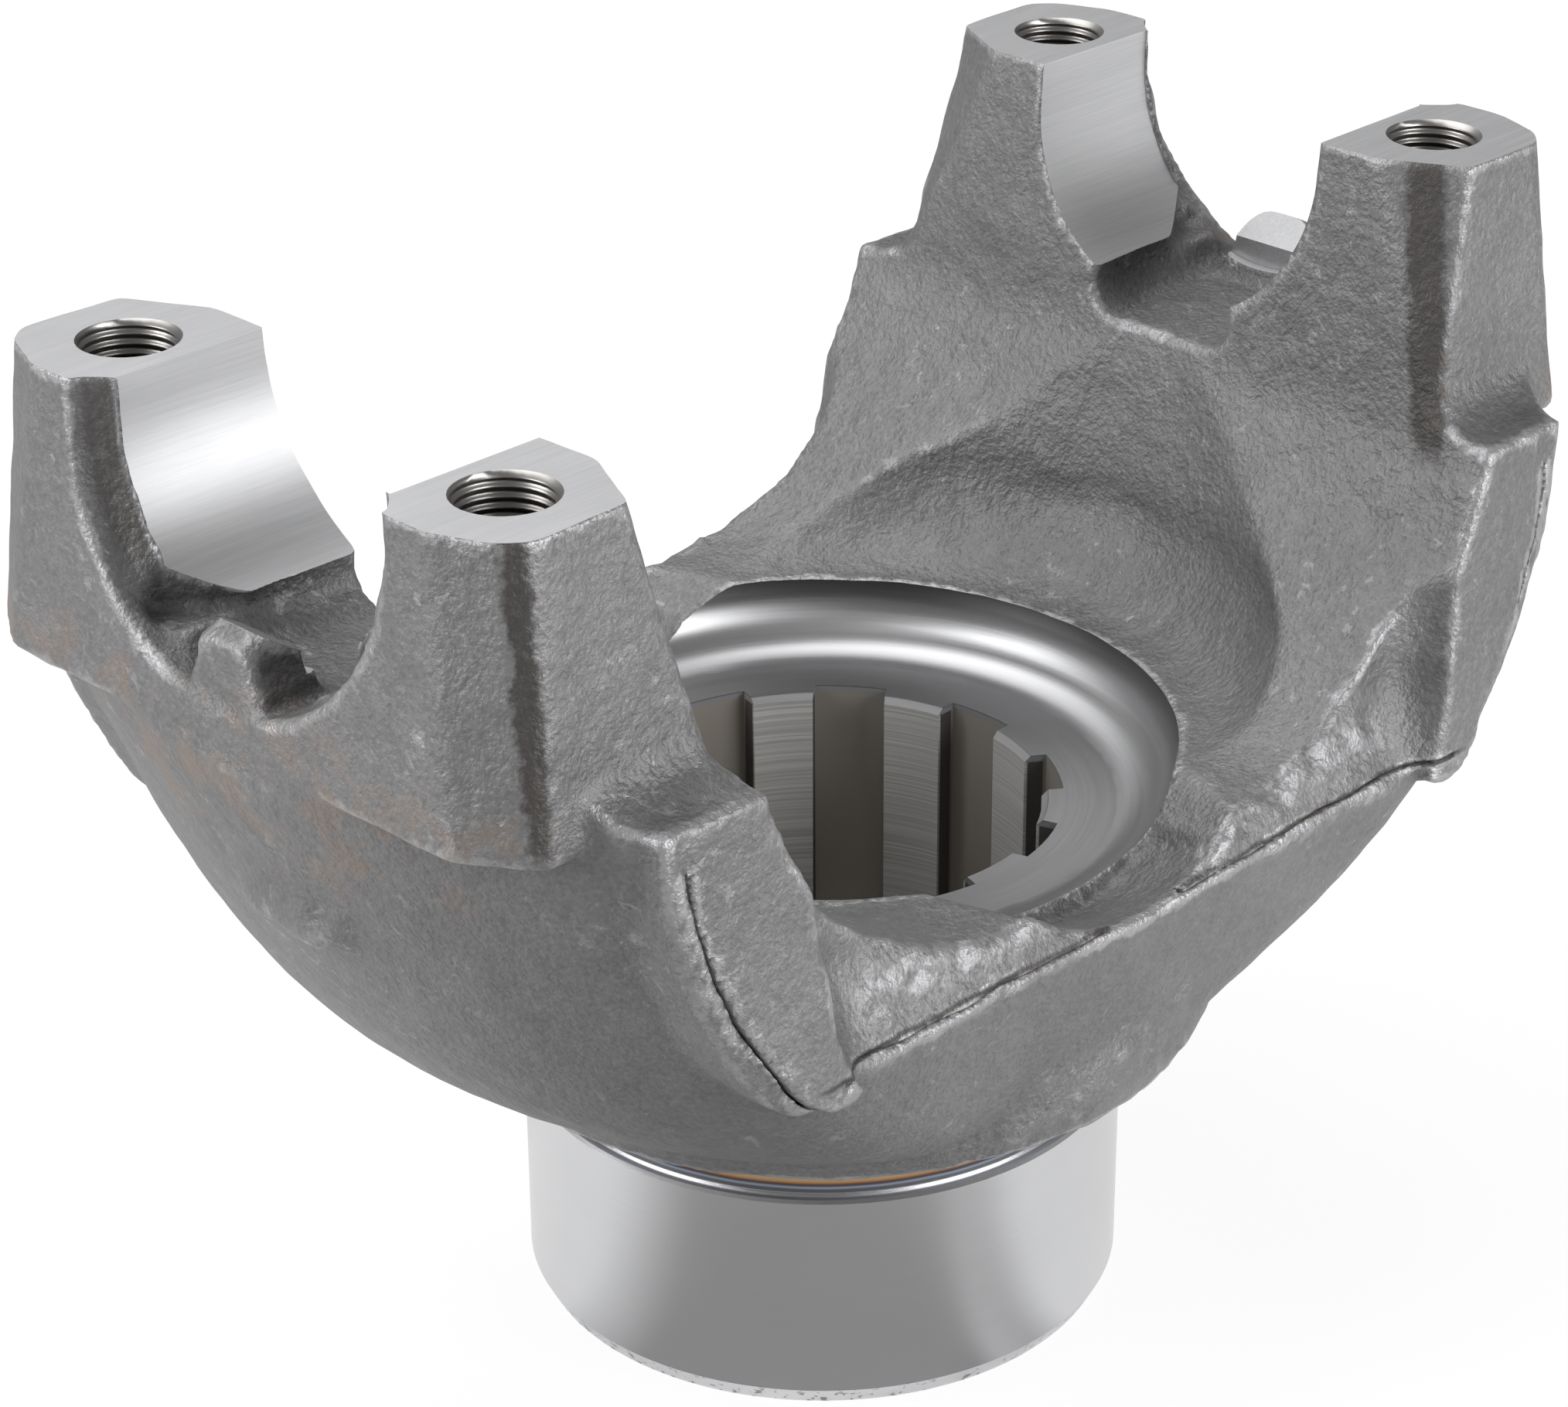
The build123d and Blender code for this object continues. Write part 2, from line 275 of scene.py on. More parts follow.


# Dark scale left along the corners of the lugs and at the ends of the seats, partly painted shade
def corner_scale_and_shade(f):
    x, y, drop = abs(f.x), abs(f.y), TOP_Z - f.z
    same = (f.x * f.y).over(0.0, 100.0)
    ragged = (f.noise(2.2, 4.0, 0.65) - 0.5) * 4.0

    def along(corner, lean, width, blur):
        aside, across = (here - at - drop * slant for here, at, slant in zip((x, y), corner, lean))
        return ((aside ** 2.0 + across ** 2.0) ** 0.5 + ragged).under(width, blur)

    outer = along((92.1, 43.9), (0.045, 0.137), 1.5, 0.9)
    inner = along((73.7, 39.6), (-0.2, 0.225), 2.6, 1.3)
    lugs = (outer * same).most(inner * (1 - same)) * f.z.over(114.0, 4.0)
    dip = (f.z - SEAT_Z).least(0.0)
    groove = (f.y * f.y + dip * dip) ** 0.5
    groove = groove.under(27.6, 1.2) * x.over(92.9, 0.3) * (x + ragged * 0.3).under(97.0, 1.2)
    groove = groove * f.z.over(126.0, 10.0) * y.over(11.0, 3.0)
    return lugs.most(groove * 0.7)


# Forged skin, shot-blasted, with painted shade in its hollows and creases
def forged_finish():
    f = Finish("forged_skin")
    x, y = abs(f.x), abs(f.y)
    painted_hollow_shade = f.node("AmbientOcclusion", "AO", {"samples": 6}, {"Distance": 40 * MM})
    convex = f.node("NewGeometry", "Pointiness")
    grain = f.noise(0.75, 3.0, 0.6)
    pits = f.noise(1.7, 2.0, 0.55)
    lumps = f.noise(8.0, 2.0, 0.5)
    tone = f.noise(26.0, 3.0, 0.6)
    mottle = f.noise(2.6, 3.0, 0.7)
    patch = f.noise(30.0, 1.0, 0.5).over(0.46, 0.16)
    fleck = f.noise(2.7, 4.0, 0.65, distortion=0.5).over(0.63, 0.07) * patch
    worn = f.noise(11.0, 2.0, 0.6).over(0.47, 0.2)
    flash = y.over(53.6, 1.2) * y.under(55.9, 1.0) * f.z.over(FLASH_LOW_Z, 2.0) * f.z.under(FLASH_TOP_Z, 3.0)
    flash = flash * x.under(FLASH_X, 6.0) * f.noise(3.0, 4.0, 0.7).over(0.5, 0.12) * 0.8
    rub = ((convex - 0.5) * 15.0 + f.noise(2.4, 4.0, 0.7) * 1.2).over(1.05, 0.3) * (0.35 + worn * 0.65)
    bright = (fleck * 0.55).most(rub).most(flash)
    scale_and_shade = corner_scale_and_shade(f)
    seam = abs(f.z - 75.3 - x * PARTING_RISE - (f.noise(5.0, 3.0, 0.6) - 0.5) * 1.6)
    seam = seam.under(0.34, 0.4) * y.over(56.2, 0.5) * x.under(62.0, 3.0)
    value = 0.155 + (tone - 0.5) * 0.07 + (mottle - 0.5) * 0.05 + (grain - 0.5) * 0.12
    # Painted shade: darker in hollows by occlusion and in creases by pointiness, which also lightens convex
    # edges
    value = value * (0.36 + painted_hollow_shade * 0.74) + (convex - 0.5) * 0.35
    colour = f.mix(bright * 0.5, f.tinted(value, value * 0.995, value * 1.01), WORN_STEEL)
    rust = f.z.over(98.0, 8.0) * f.z.under(121.0, 8.0) * x.over(92.0, 6.0)
    rust = f.noise(7.0, 4.0, 0.65).over(0.55, 0.16) * rust
    colour = f.mix(rust * 0.4, colour, RUST)
    # Dark scale with painted shade on the lug corners and seat ends, and the dark parting seam
    colour = f.mix((scale_and_shade * 0.78).most(seam * 0.8), colour, DARK_SCALE_AND_SHADE)
    f.set("Base Color", colour)
    f.set("Metallic", 0.6)
    f.set("Roughness", 0.52 - bright * 0.12 + (grain - 0.5) * 0.16)
    f.set("Normal", f.bump(grain * 0.5 + pits * 0.5 + lumps * 1.2 - bright * 0.10, 0.55, 1.0))
    return f.material


# Turned and ground faces round the hub's axis
def turned_finish():
    f = Finish("turned_steel")
    reach = (f.x * f.x + f.y * f.y) ** 0.5
    turn = f.heading(f.y, f.x)
    rings = f.noise(1.0, 2.0, 0.6, f.point(reach * 2.2, turn * 1.4, f.z * 2.2))
    fine = f.noise(1.0, 1.0, 0.5, f.point(reach * 6.0, turn * 5.0, f.z * 6.0))
    cloud = f.noise(14.0, 2.0, 0.5)
    lathe = f.z.over(60.0, 1.0)
    painted_floor_shade = f.z.under(NUT_FLOOR_Z + 0.6, 1.2) * lathe
    painted_wall_shade = f.z.over(NUT_FLOOR_Z + NUT_CORNER, 3.0)
    value = 0.54 + (rings - 0.5) * (0.02 + lathe * 0.08) + (cloud - 0.5) * 0.04
    # The counterbore is painted darker than the hub, its floor and wall darker still: painted shade and a
    # painted dark reflection in the pocket
    value = value * (1.18 - lathe * 0.5 - painted_floor_shade * 0.26 - painted_wall_shade * 0.34)
    colour = f.tinted(value, value * 1.003, value * 1.02)
    bore = reach.under(33.4, 0.1) * f.z.under(NUT_FLOOR_Z - 0.1, 0.1)
    ruled = f.noise(1.0, 1.0, 0.5, f.point(turn * 0.4, 0.0, f.z * 3.2))
    inside = f.mix(ruled.over(0.5, 0.3), TOOTH_DARK, TOOTH_PALE)
    # The flanks between the tooth tops and the groove roots are coloured dark
    inside = f.mix(reach.over(30.1, 0.2), inside, DARK_FLANKS_AND_DIRT)
    inside = f.mix(reach.over(32.3, 0.2), inside, GROOVE_FLOOR)
    colour = f.mix(bore * f.z.under(NUT_FLOOR_Z - LEAD - 0.05, 0.05), colour, inside)
    neck = f.z.over(HUB_H + 0.3, 0.2) * f.z.under(50.0, 1.0) * reach.over(36.0, 0.5)
    heat = (f.z - HUB_H) / HEAT_H + (f.noise(9.0, 2.0, 0.5) - 0.5) * 0.08
    colour = f.mix(neck, colour, f.ramp(HEAT_TINT, heat))
    specks = f.noise(1.3, 3.0, 0.6).over(0.60, 0.05) * f.z.under(2.2, 1.2) * reach.over(39.0, 0.5)
    colour = f.mix(specks * 0.7, colour, DARK_FLANKS_AND_DIRT)
    f.set("Base Color", colour)
    f.set("Metallic", 1.0 - bore * 0.75 - neck * 0.55)
    f.set("Roughness", 0.27 + lathe * 0.12 + (rings - 0.5) * lathe * 0.08 + bore * 0.18 + neck * 0.2)
    f.set("Anisotropic", 0.65)
    f.set("Normal", f.bump((rings * 0.6 + fine * 0.4) * (0.12 + lathe * 0.88), 0.012, 0.8))
    return f.material


# Milled lug tops and bearing seats
def milled_finish():
    f = Finish("milled_steel")
    lines = f.noise(1.0, 3.0, 0.6, f.point(f.x * 0.05, f.y * 2.4, f.z * 2.4))
    scratch = f.noise(1.0, 2.0, 0.6, f.point(f.x * 0.1, f.y * 7.0, f.z * 7.0))
    cloud = f.noise(12.0, 2.0, 0.5)
    tab = abs(f.x).over(TAB_IN - 0.2, 0.1) * abs(f.y).under(9.0, 0.5)
    value = 0.47 + (lines - 0.5) * 0.12 + (scratch - 0.5) * 0.10 + (cloud - 0.5) * 0.05
    value = value + f.z.over(TOP_Z - 0.2, 0.1) * 0.05 - tab * 0.2
    f.set("Base Color", f.tinted(value, value * 1.003, value * 1.02))
    f.set("Metallic", 0.9)
    f.set("Roughness", 0.47 + (lines - 0.5) * 0.08)
    f.set("Normal", f.bump(lines * 0.5 + scratch * 0.5, 0.012, 0.8))
    return f.material


# Threads, darker towards the bottom
def tapped_finish():
    f = Finish("tapped_steel")
    f.set("Base Color", f.mix(f.z.under(TOP_Z - 5.0, 9.0), THREAD_MOUTH_TONE, THREAD_BOTTOM_TONE))
    f.set("Metallic", 1.0)
    f.set("Roughness", 0.36)
    return f.material


FORGED, TURNED, MILLED, TAPPED = range(4)


# Which finish a place on the yoke has, in millimetres
def surface_kind(p, n, slack):
    x, y, z = p
    ax, ay = abs(x), abs(y)
    reach = math.hypot(x, y)
    inward = (-n.x * x - n.y * y) / reach
    if z > TOP_Z - 0.1 and n.z > FACING:
        return MILLED
    if math.hypot(ax - BOLT_X, ay - BOLT_Y) < TAP_REACH and z > TAP_LOW_Z:
        return TAPPED
    if z < CUP_TOP_Z + 0.05 and reach < CUP_R - 0.2:
        return TURNED
    if reach < MAJOR_R + 0.3 and z < NUT_FLOOR_Z + 0.05:
        return TURNED
    if abs(reach - NUT_R) < slack and inward > FACING and z < NUT_TOP_Z:
        return TURNED
    corner = math.hypot(reach - NUT_R + NUT_CORNER, z - NUT_FLOOR_Z - NUT_CORNER)
    if z < NUT_FLOOR_Z + NUT_CORNER and reach < NUT_R and abs(corner - NUT_CORNER) < slack:
        return TURNED
    if abs(z - NUT_FLOOR_Z) < slack and reach < NUT_R - NUT_CORNER + 0.5 and n.z > FACING:
        return TURNED
    if SEAT_IN < ax < SEAT_OUT + 0.1 and abs(n.x) < 0.2:
        if z < SEAT_Z and abs(math.hypot(y, z - SEAT_Z) - SEAT_R) < slack:
            return MILLED
        if z >= SEAT_Z - 0.1 and abs(ay - SEAT_R) < slack:
            return MILLED
    on_slope = abs(z - TAB_SLOPE_Z - (ax - TAB_IN) * TAB_SLOPE) < slack and n.z > 0.7
    if TAB_IN - 0.1 < ax < TAB_END and ay < TAB_HALF and on_slope:
        return MILLED
    if abs(ax - TAB_IN) < slack and ay < TAB_HALF and z < 130 and abs(n.x) > FACING:
        return MILLED
    return FORGED


# Exact normal of a machined face at one of its corners, or none
def exact_normal(kind, n, middle, at):
    x, y, z = at
    if kind in (FORGED, TAPPED):
        return Vector()
    if kind == MILLED:
        in_seat = z < SEAT_Z and abs(math.hypot(y, z - SEAT_Z) - SEAT_R) < ON_FACE
        if in_seat and abs(n.x) < 0.2 and abs(n.z) < 0.999:
            return Vector((0, -y, SEAT_Z - z)).normalized()
        return n
    near = math.hypot(middle.x, middle.y)
    out = (n.x * middle.x + n.y * middle.y) / near
    if abs(n.y * middle.x - n.x * middle.y) / near > 0.05:
        return n
    reach, rise = math.hypot(x, y), n.z
    in_corner = NUT_R - NUT_CORNER < reach < NUT_R + ON_FACE
    if in_corner and NUT_FLOOR_Z - ON_FACE < z < NUT_FLOOR_Z + NUT_CORNER:
        out, rise = NUT_R - NUT_CORNER - reach, NUT_FLOOR_Z + NUT_CORNER - z
    across, over = NECK_R + NECK_ROUND - reach, COLLAR_UNDER_Z - NECK_ROUND - z
    if abs(math.hypot(across, over) - NECK_ROUND) < ON_FACE and z > COLLAR_UNDER_Z - NECK_ROUND - ON_FACE:
        out, rise = across, over
    return Vector((out * x / reach, out * y / reach, rise)).normalized()


@contextmanager
def edited(mesh):
    work = bmesh.new()
    work.from_mesh(mesh)
    yield work
    work.to_mesh(mesh)
    work.free()


def select(*parts):
    bpy.ops.object.select_all(action="DESELECT")
    for part in parts:
        part.select_set(True)
    bpy.context.view_layer.objects.active = parts[0]


# Cutting tools, each a closed mesh, for the machined faces
def solid(name, corners, faces):
    mesh = bpy.data.meshes.new(name)
    mesh.from_pydata([Vector(c) * MM for c in corners], [], faces)
    with edited(mesh) as work:
        bmesh.ops.remove_doubles(work, verts=work.verts, dist=TOOL_MERGE)
        bmesh.ops.dissolve_degenerate(work, edges=work.edges, dist=TOOL_MERGE)
        bmesh.ops.recalc_face_normals(work, faces=work.faces)
    made = bpy.data.objects.new(name, mesh)
    bpy.context.scene.collection.objects.link(made)
    return made


# Side faces between two rings of corners
def band(low, high, count):
    return [(low + i, low + (i + 1) % count, high + (i + 1) % count, high + i) for i in range(count)]


def turned_solid(name, profile, steps=144):
    count = len(profile)
    corners, faces = [], []
    for k in range(steps):
        angle = 2 * math.pi * k / steps
        corners += [(r * math.cos(angle), r * math.sin(angle), z) for r, z in profile]
        faces += band(k * count, (k + 1) % steps * count, count)
    return solid(name, corners, faces)


def prism(name, outline, axis, low, high):
    corners = [list(point) for point in outline * 2]
    for k, corner in enumerate(corners):
        corner.insert("xyz".index(axis), low if k < len(outline) else high)
    count = len(outline)
    faces = [tuple(range(count)), tuple(range(count, 2 * count))]
    return solid(name, corners, faces + band(0, count, count))


def combine(base, tool, operation="DIFFERENCE"):
    step = base.modifiers.new("cut", "BOOLEAN")
    step.operation = operation
    step.object = tool
    step.solver = "MANIFOLD"
    bpy.context.view_layer.objects.active = base
    bpy.ops.object.modifier_apply(modifier="cut")
    bpy.data.objects.remove(tool)


def gathered(parts):
    select(*parts)
    bpy.ops.object.join()
    return parts[0]


def arc(centre, radius, start, end, steps):
    angles = [math.radians(start + (end - start) * k / steps) for k in range(steps + 1)]
    return [(centre[0] + radius * math.cos(a), centre[1] + radius * math.sin(a)) for a in angles]


def hub_tool():
    neck_centre = (NECK_R + NECK_ROUND, COLLAR_UNDER_Z - NECK_ROUND)
    profile = [(0, 0), (HUB_R - FOOT_IN, 0), (HUB_R, FOOT_H), (HUB_R, HUB_H - HUB_EDGE),
               (HUB_R - HUB_EDGE, HUB_H), (NECK_R, HUB_H)]
    profile += arc(neck_centre, NECK_ROUND, 180, 98, 8)
    return turned_solid("hub_tool", profile + [(CUP_R, CUP_TOP_Z), (CUP_R, -8), (0, -8)])


def nut_tool():
    corner = (NUT_R - NUT_CORNER, NUT_FLOOR_Z + NUT_CORNER)
    profile = [(0, NUT_FLOOR_Z)] + arc(corner, NUT_CORNER, -90, 0, 12) + [(NUT_R, 110), (0, 110)]
    tool = turned_solid("nut_tool", profile)
    outline = []
    root, crest = (math.asin(SPLINE_W / 2 / r) for r in (MAJOR_R, MINOR_R))
    tooth = 2 * math.pi / TEETH
    land = tooth - 2 * crest
    for k in range(TEETH):
        middle = math.radians(PHASE) + tooth * k
        angles = [middle + t * root for t in (-1, -0.6, -0.2, 0.2, 0.6, 1)]
        outline += [(MAJOR_R * math.cos(a), MAJOR_R * math.sin(a)) for a in angles]
        angles = [middle + crest + land * t for t in (0, 0.25, 0.5, 0.75, 1)]
        outline += [(MINOR_R * math.cos(a), MINOR_R * math.sin(a)) for a in angles]
    lead = turned_solid("lead", [(0, NUT_FLOOR_Z - LEAD), (MINOR_R, NUT_FLOOR_Z - LEAD),
                                 (MINOR_R + LEAD + 1, NUT_FLOOR_Z + 1), (0, NUT_FLOOR_Z + 1)])
    combine(tool, lead, "UNION")
    combine(tool, prism("bore", outline, "z", -15, NUT_FLOOR_Z + 3), "UNION")
    return tool


# Half-round seat, less the corners that stay forged, with the slope on the tab
def seat_tool(side):
    outline = arc((0, SEAT_Z), SEAT_R, 180, 360, 60) + [(SEAT_R, TOP_Z + 10), (-SEAT_R, TOP_Z + 10)]
    low, high = sorted((side * 50, side * SEAT_OUT))
    tool = prism("seat_tool", outline, "x", low, high)
    plan = [(TAB_IN, 0), (TAB_IN, 7.9), (85.8, 7.9), (85.8, 11.6), (93.6, 17.4), (96, 17.4)]
    plan = [(side * x, y) for x, y in plan] + [(side * x, -y) for x, y in reversed(plan[1:])]
    combine(tool, prism("corner_room", plan, "z", 100, 131))
    inner, outer, above = TAB_IN - 4, 100, 136
    slope = [(inner, TAB_SLOPE_Z), (TAB_IN, TAB_SLOPE_Z),
             (outer, TAB_SLOPE_Z + (outer - TAB_IN) * TAB_SLOPE), (outer, above), (inner, above)]
    combine(tool, prism("slope", [(side * x, z) for x, z in slope], "y", -9, 9), "UNION")
    return tool


def thread_radius(z, turn):
    if z > TOP_Z - 0.75:
        return MOUTH_FOOT_R if z < TOP_Z - 0.5 else MOUTH_R
    if z < TOP_Z - THREAD_DEEP - 0.5:
        return BOLT_DRILL_R
    phase = (z / THREAD_PITCH - turn) % 1.0
    return BOLT_DRILL_R + THREAD_RISE * min(1.0, max(0.0, (abs(phase - 0.5) * 2 - 0.08) / 0.8))


def tap(side_x, side_y):
    rows = [TOP_Z + 3, TOP_Z, TOP_Z - 0.7, TOP_Z - 0.8]
    while rows[-1] > TOP_Z - THREAD_DEEP:
        rows.append(rows[-1] - THREAD_ROW)
    rows += [TOP_Z - THREAD_DEEP - 0.6, TOP_Z - BOLT_DEEP]
    n = THREAD_TURN
    corners, faces = [], []
    for z in rows:
        for k in range(n):
            angle = 2 * math.pi * k / n
            radius = thread_radius(z, k / n)
            corners.append((side_x * BOLT_X + radius * math.cos(angle),
                            side_y * BOLT_Y + radius * math.sin(angle), z))
    last = (len(rows) - 1) * n
    for start in range(0, last, n):
        faces += band(start, start + n, n)
    faces.append(tuple(range(n)))
    corners.append((side_x * BOLT_X, side_y * BOLT_Y, TOP_Z - TIP_DEEP))
    faces += [(last + k, last + (k + 1) % n, len(corners) - 1) for k in range(n)]
    return solid("tap", corners, faces)


# Thin cracks where the two dies met
def crack_tool(name, path, widths, near, deep):
    corners, faces = [], []
    for (x, z), (wx, wz) in zip(path, widths):
        corners += [(x, near, z), (x + wx, near, z + wz), (x + wx * 0.3, deep, z + wz * 0.3), (x, deep, z)]
    last = 4 * (len(path) - 1)
    for start in range(0, last, 4):
        faces += band(start, start + 4, 4)
    faces += [(0, 1, 2, 3), tuple(range(last, last + 4))]
    return solid(name, corners, faces)


def smooth_path(points, steps):
    out = []
    ends = [points[0]] + points + [points[-1]]
    for i in range(1, len(ends) - 2):
        p0, p1, p2, p3 = (Vector(q) for q in ends[i - 1:i + 3])
        for k in range(steps):
            t = k / steps
            out.append(0.5 * (2 * p1 + (p2 - p0) * t + (2 * p0 - 5 * p1 + 4 * p2 - p3) * t * t
                              + (3 * p1 - p0 - 3 * p2 + p3) * t ** 3))
    return [tuple(q) for q in out + [Vector(points[-1])]]


def wander(seed, at, reach):
    return noise.noise(Vector((seed, at, 0.5))) * reach


def lip_crack(seed, sx, sy):
    path = [(sx * (x + 0.1 + wander(seed * 7.3, z * 0.35, 0.25)), z) for x, z in smooth_path(LIP_BENDS, 8)]
    widths = [(sx * (0.6 + abs(wander(seed * 3.1 + 50, z * 0.3, 0.9))), 0) for x, z in path]
    return crack_tool("lip_crack", path, widths, sy * CRACK_OUT_Y, sy * LIP_CRACK_Y)


def parting_crack(sy):
    path, widths = [], []
    for x in range(-58, 61, 2):
        path.append((x, PARTING_Z + abs(x) * PARTING_RISE + wander(sy * 11.7, x * 0.12, 0.8)))
        widths.append((0, 0.3 + abs(wander(sy * 5.9, x * 0.2, 0.6)) + 0.7 * max(0, abs(x) - 46) / 12))
    return crack_tool("parting_crack", path, widths, sy * CRACK_OUT_Y, sy * PARTING_CRACK_Y)


def cracks():
    lips = [lip_crack(seed, sx, sy) for seed, (sx, sy) in enumerate(QUARTERS)]
    return gathered(lips + [parting_crack(sy) for sy in (-1, 1)])


# Machined faces pushed out, so that softening leaves enough for the cuts
def add_stock(mesh):
    with edited(mesh) as work:
        bmesh.ops.remove_doubles(work, verts=work.verts, dist=CAD_MERGE)
        work.normal_update()
        push = {}
        for face in work.faces:
            if surface_kind(face.calc_center_median() / MM, face.normal, CAD_SLACK) != FORGED:
                for corner in face.verts:
                    push[corner] = push.get(corner, Vector()) + face.normal * face.calc_area()
        for corner, way in push.items():
            if way.length > 0:
                corner.co += way.normalized() * STOCK * MM


def relax(body, steps, group=""):
    step = body.modifiers.new("relax", "SMOOTH")
    step.factor = 0.5
    step.iterations = steps
    step.vertex_group = group
    bpy.ops.object.modifier_apply(modifier="relax")


def vectors(layer, name):
    values = np.empty(len(layer) * 3)
    layer.foreach_get(name, values)
    return values.reshape(-1, 3)


def lumpiness(size, places):
    return np.array([noise.noise(Vector(p) / (size * MM)) for p in places])


# The forging: the part's own shape with softened edges and a lumpy skin, before machining
def forged_body():
    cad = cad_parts["yoke"]
    body = cad.copy()
    body.data = cad.data.copy()
    body.name = body.data.name = "yoke_forging"
    bpy.context.scene.collection.objects.link(body)
    body.parent = None
    add_stock(body.data)
    select(body)
    body.data.remesh_voxel_size = VOXEL * MM
    body.data.remesh_voxel_adaptivity = 0
    bpy.ops.object.voxel_remesh()
    before = vectors(body.data.vertices, "co")
    relax(body, SOFTEN_STEPS)
    melt = body.vertex_groups.new(name="melt")
    spots = [k for k, v in enumerate(body.data.vertices) if abs(v.co.x) < MELT_X * MM
             and abs(v.co.y) > MELT_Y * MM and MELT_LOW_Z * MM < v.co.z < MELT_TOP_Z * MM]
    melt.add(spots, 1.0, "REPLACE")
    relax(body, MELT_STEPS, "melt")
    body.vertex_groups.clear()
    place = vectors(body.data.vertices, "co")
    out = vectors(body.data.vertex_normals, "vector")
    worn = np.clip(((before - place) * out).sum(axis=1) / MM / WORN_DEPTH, 0, 1)
    wide, close = lumpiness(WIDE_LUMP, place), lumpiness(CLOSE_LUMP, place)
    along, across, high = (abs(place[:, k]) / MM for k in range(3))
    flash = (across > 52.6) & (across < 56.6) & (high > FLASH_LOW_Z) & (high < FLASH_TOP_Z) & (along < FLASH_X)
    lumps = wide * (0.15 + 0.45 * worn) + close * (0.07 + 0.25 * worn + 0.5 * flash)
    place += out * lumps[:, None] * MM
    body.data.vertices.foreach_set("co", place.ravel())
    body.data.update()
    return body


# The forging machined as the part is
piece = forged_body()
combine(piece, cracks())
sheet = prism("top_tool", [(-120, -80), (120, -80), (120, 80), (-120, 80)], "z", TOP_Z, TOP_Z + 20)
combine(piece, gathered([sheet, hub_tool()]))
combine(piece, nut_tool())
combine(piece, gathered([seat_tool(-1), seat_tool(1)] + [tap(sx, sy) for sx, sy in QUARTERS]))
with edited(piece.data) as work:
    bmesh.ops.triangulate(work, faces=work.faces)
    bmesh.ops.dissolve_degenerate(work, edges=work.edges, dist=SLIVER)
piece.data.validate()

# A finish for every face, and exact normals where it is machined
piece.data.materials.clear()
for made in (forged_finish(), turned_finish(), milled_finish(), tapped_finish()):
    piece.data.materials.append(made)
select(piece)
bpy.ops.object.shade_smooth_by_angle(angle=math.radians(38))
normals = [Vector()] * len(piece.data.loops)
for face in piece.data.polygons:
    face.material_index = surface_kind(face.center / MM, face.normal, CUT_SLACK)
    for turn in face.loop_indices if face.material_index else ():
        at = piece.data.vertices[piece.data.loops[turn].vertex_index].co
        normals[turn] = exact_normal(face.material_index, face.normal.copy(), face.center / MM, at / MM)
piece.data.normals_split_custom_set(normals)
piece.select_set(False)
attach(piece, "root")
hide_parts("yoke")


# Camera fitted to the photograph
azimuth, elevation, roll = (math.radians(a) for a in (AZIMUTH, ELEVATION, ROLL))
back = Vector((math.sin(azimuth) * math.cos(elevation), -math.cos(azimuth) * math.cos(elevation),
               math.sin(elevation)))
right = Vector((math.cos(azimuth), math.sin(azimuth), 0))
up = back.cross(right)
centre = back * DISTANCE + right * SHIFT_RIGHT + up * SHIFT_UP + Vector((0, 0, LIFT))
turned_right = right * math.cos(roll) + up * math.sin(roll)
turned_up = up * math.cos(roll) - right * math.sin(roll)
lens = bpy.data.cameras.new("camera")
lens.sensor_width = SENSOR
lens.lens = SENSOR * FOCAL / PHOTO_W
lens.shift_x = (PHOTO_W / 2 - CENTRE_X) / PHOTO_W
lens.shift_y = (CENTRE_Y - PHOTO_H / 2) / PHOTO_W
lens.clip_start, lens.clip_end = 0.01, 20
camera = bpy.data.objects.new("camera", lens)
bpy.context.scene.collection.objects.link(camera)
camera.matrix_world = Matrix.Translation(centre * MM) @ Matrix(
    (turned_right, turned_up, back)).transposed().to_4x4()
bpy.context.scene.camera = camera

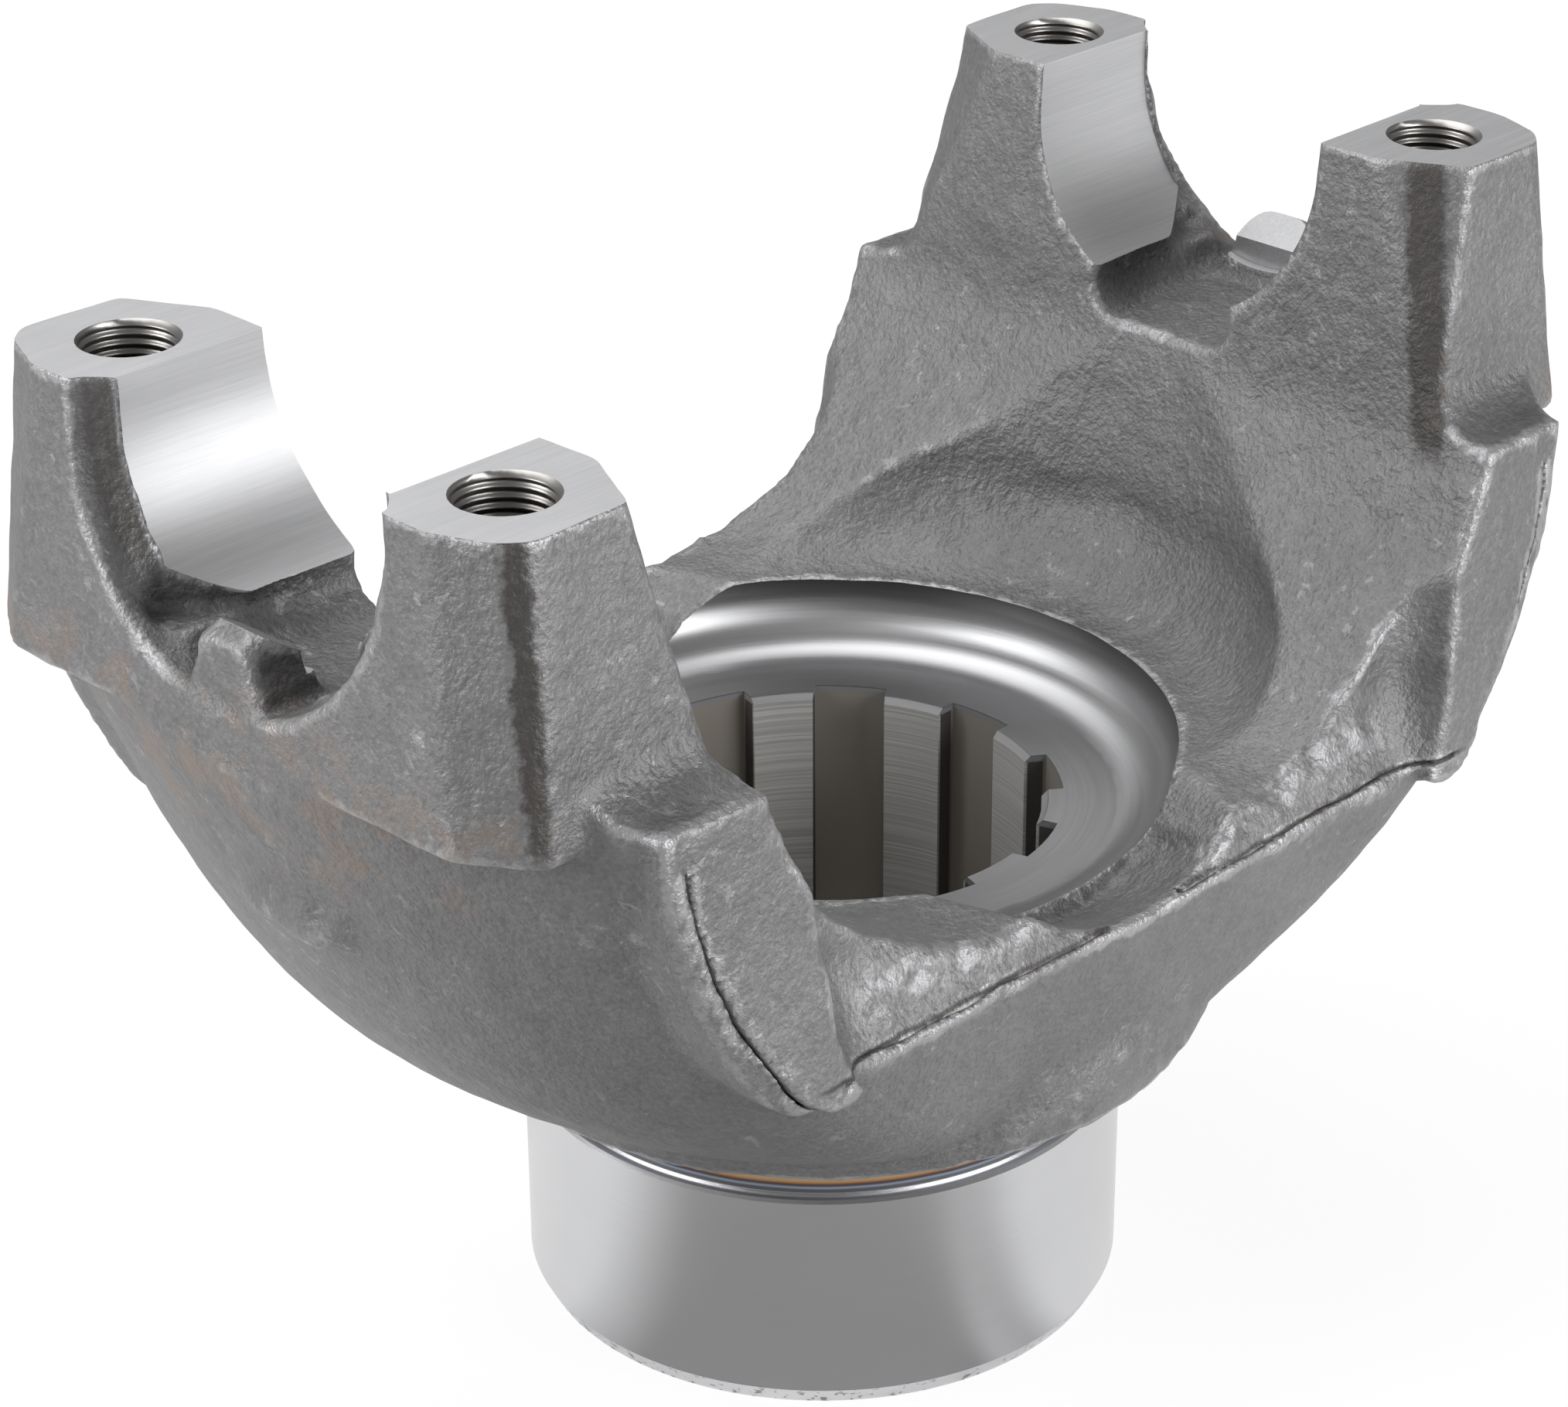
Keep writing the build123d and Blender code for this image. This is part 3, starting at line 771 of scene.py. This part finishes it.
# Pale floor, which the metal mirrors as a ring of grey cards
bpy.ops.mesh.primitive_plane_add(size=6.0, location=(0, 0, 0))
floor = bpy.context.object
floor.name = "floor"
paint = Finish("floor_paper")
heading = paint.heading(paint.y + paint.x, paint.x - paint.y)
heading = (heading / (2 * math.pi) + 0.25).math("FRACT")
cards = paint.ramp([(at, (level,) * 3) for at, level in CARDS], heading)
seen = paint.node("LightPath", "Is Camera Ray")
reach = (paint.x * paint.x + paint.y * paint.y) ** 0.5
shiny = paint.node("LightPath", "Is Glossy Ray") * reach.over(42.0, 1.0)
paint.set("Base Color", (0.9, 0.9, 0.9))
paint.set("Roughness", 0.9)
glow = paint.node("Emission", 0, {}, {"Color": paint.mix(shiny, (1, 1, 1), cards)})
blend = paint.node("MixShader", 0, {}, {0: seen * 0.9 + shiny * 0.85, 1: paint.shader.outputs[0], 2: glow})
join(paint.tree, paint.tree.nodes["Material Output"].inputs["Surface"], blend)
floor.data.materials.append(paint.material)


# Soft studio light
def softbox(name, where, size, power):
    lamp = bpy.data.lights.new(name, "AREA")
    lamp.shape = "RECTANGLE"
    lamp.size, lamp.size_y = size
    lamp.energy = power
    holder = bpy.data.objects.new(name, lamp)
    bpy.context.scene.collection.objects.link(holder)
    holder.location = where
    aim = Vector((0, 0, 0.08)) - Vector(where)
    holder.rotation_mode = "QUATERNION"
    holder.rotation_quaternion = aim.to_track_quat("-Z", "Y")


softbox("left_box", (-1.1, 0.45, 0.65), (0.8, 0.8), 14)
softbox("right_box", (0.25, -1.15, 0.45), (0.8, 0.7), 14)
softbox("top_box", (0.1, 0.5, 1.3), (1.0, 1.0), 13)
world = bpy.data.worlds.new("studio")
bpy.context.scene.world = world
world.use_nodes = True
sky = world.node_tree.nodes["Background"]
sky.inputs["Color"].default_value = (1, 1, 1, 1)
rays = world.node_tree.nodes.new("ShaderNodeLightPath")
seen, shiny = (Wire(world.node_tree, rays.outputs[name]) for name in ("Is Camera Ray", "Is Glossy Ray"))
join(world.node_tree, sky.inputs["Strength"], seen * 0.6 + 0.4 - shiny * 0.12)

bpy.context.scene.view_settings.view_transform = "Standard"
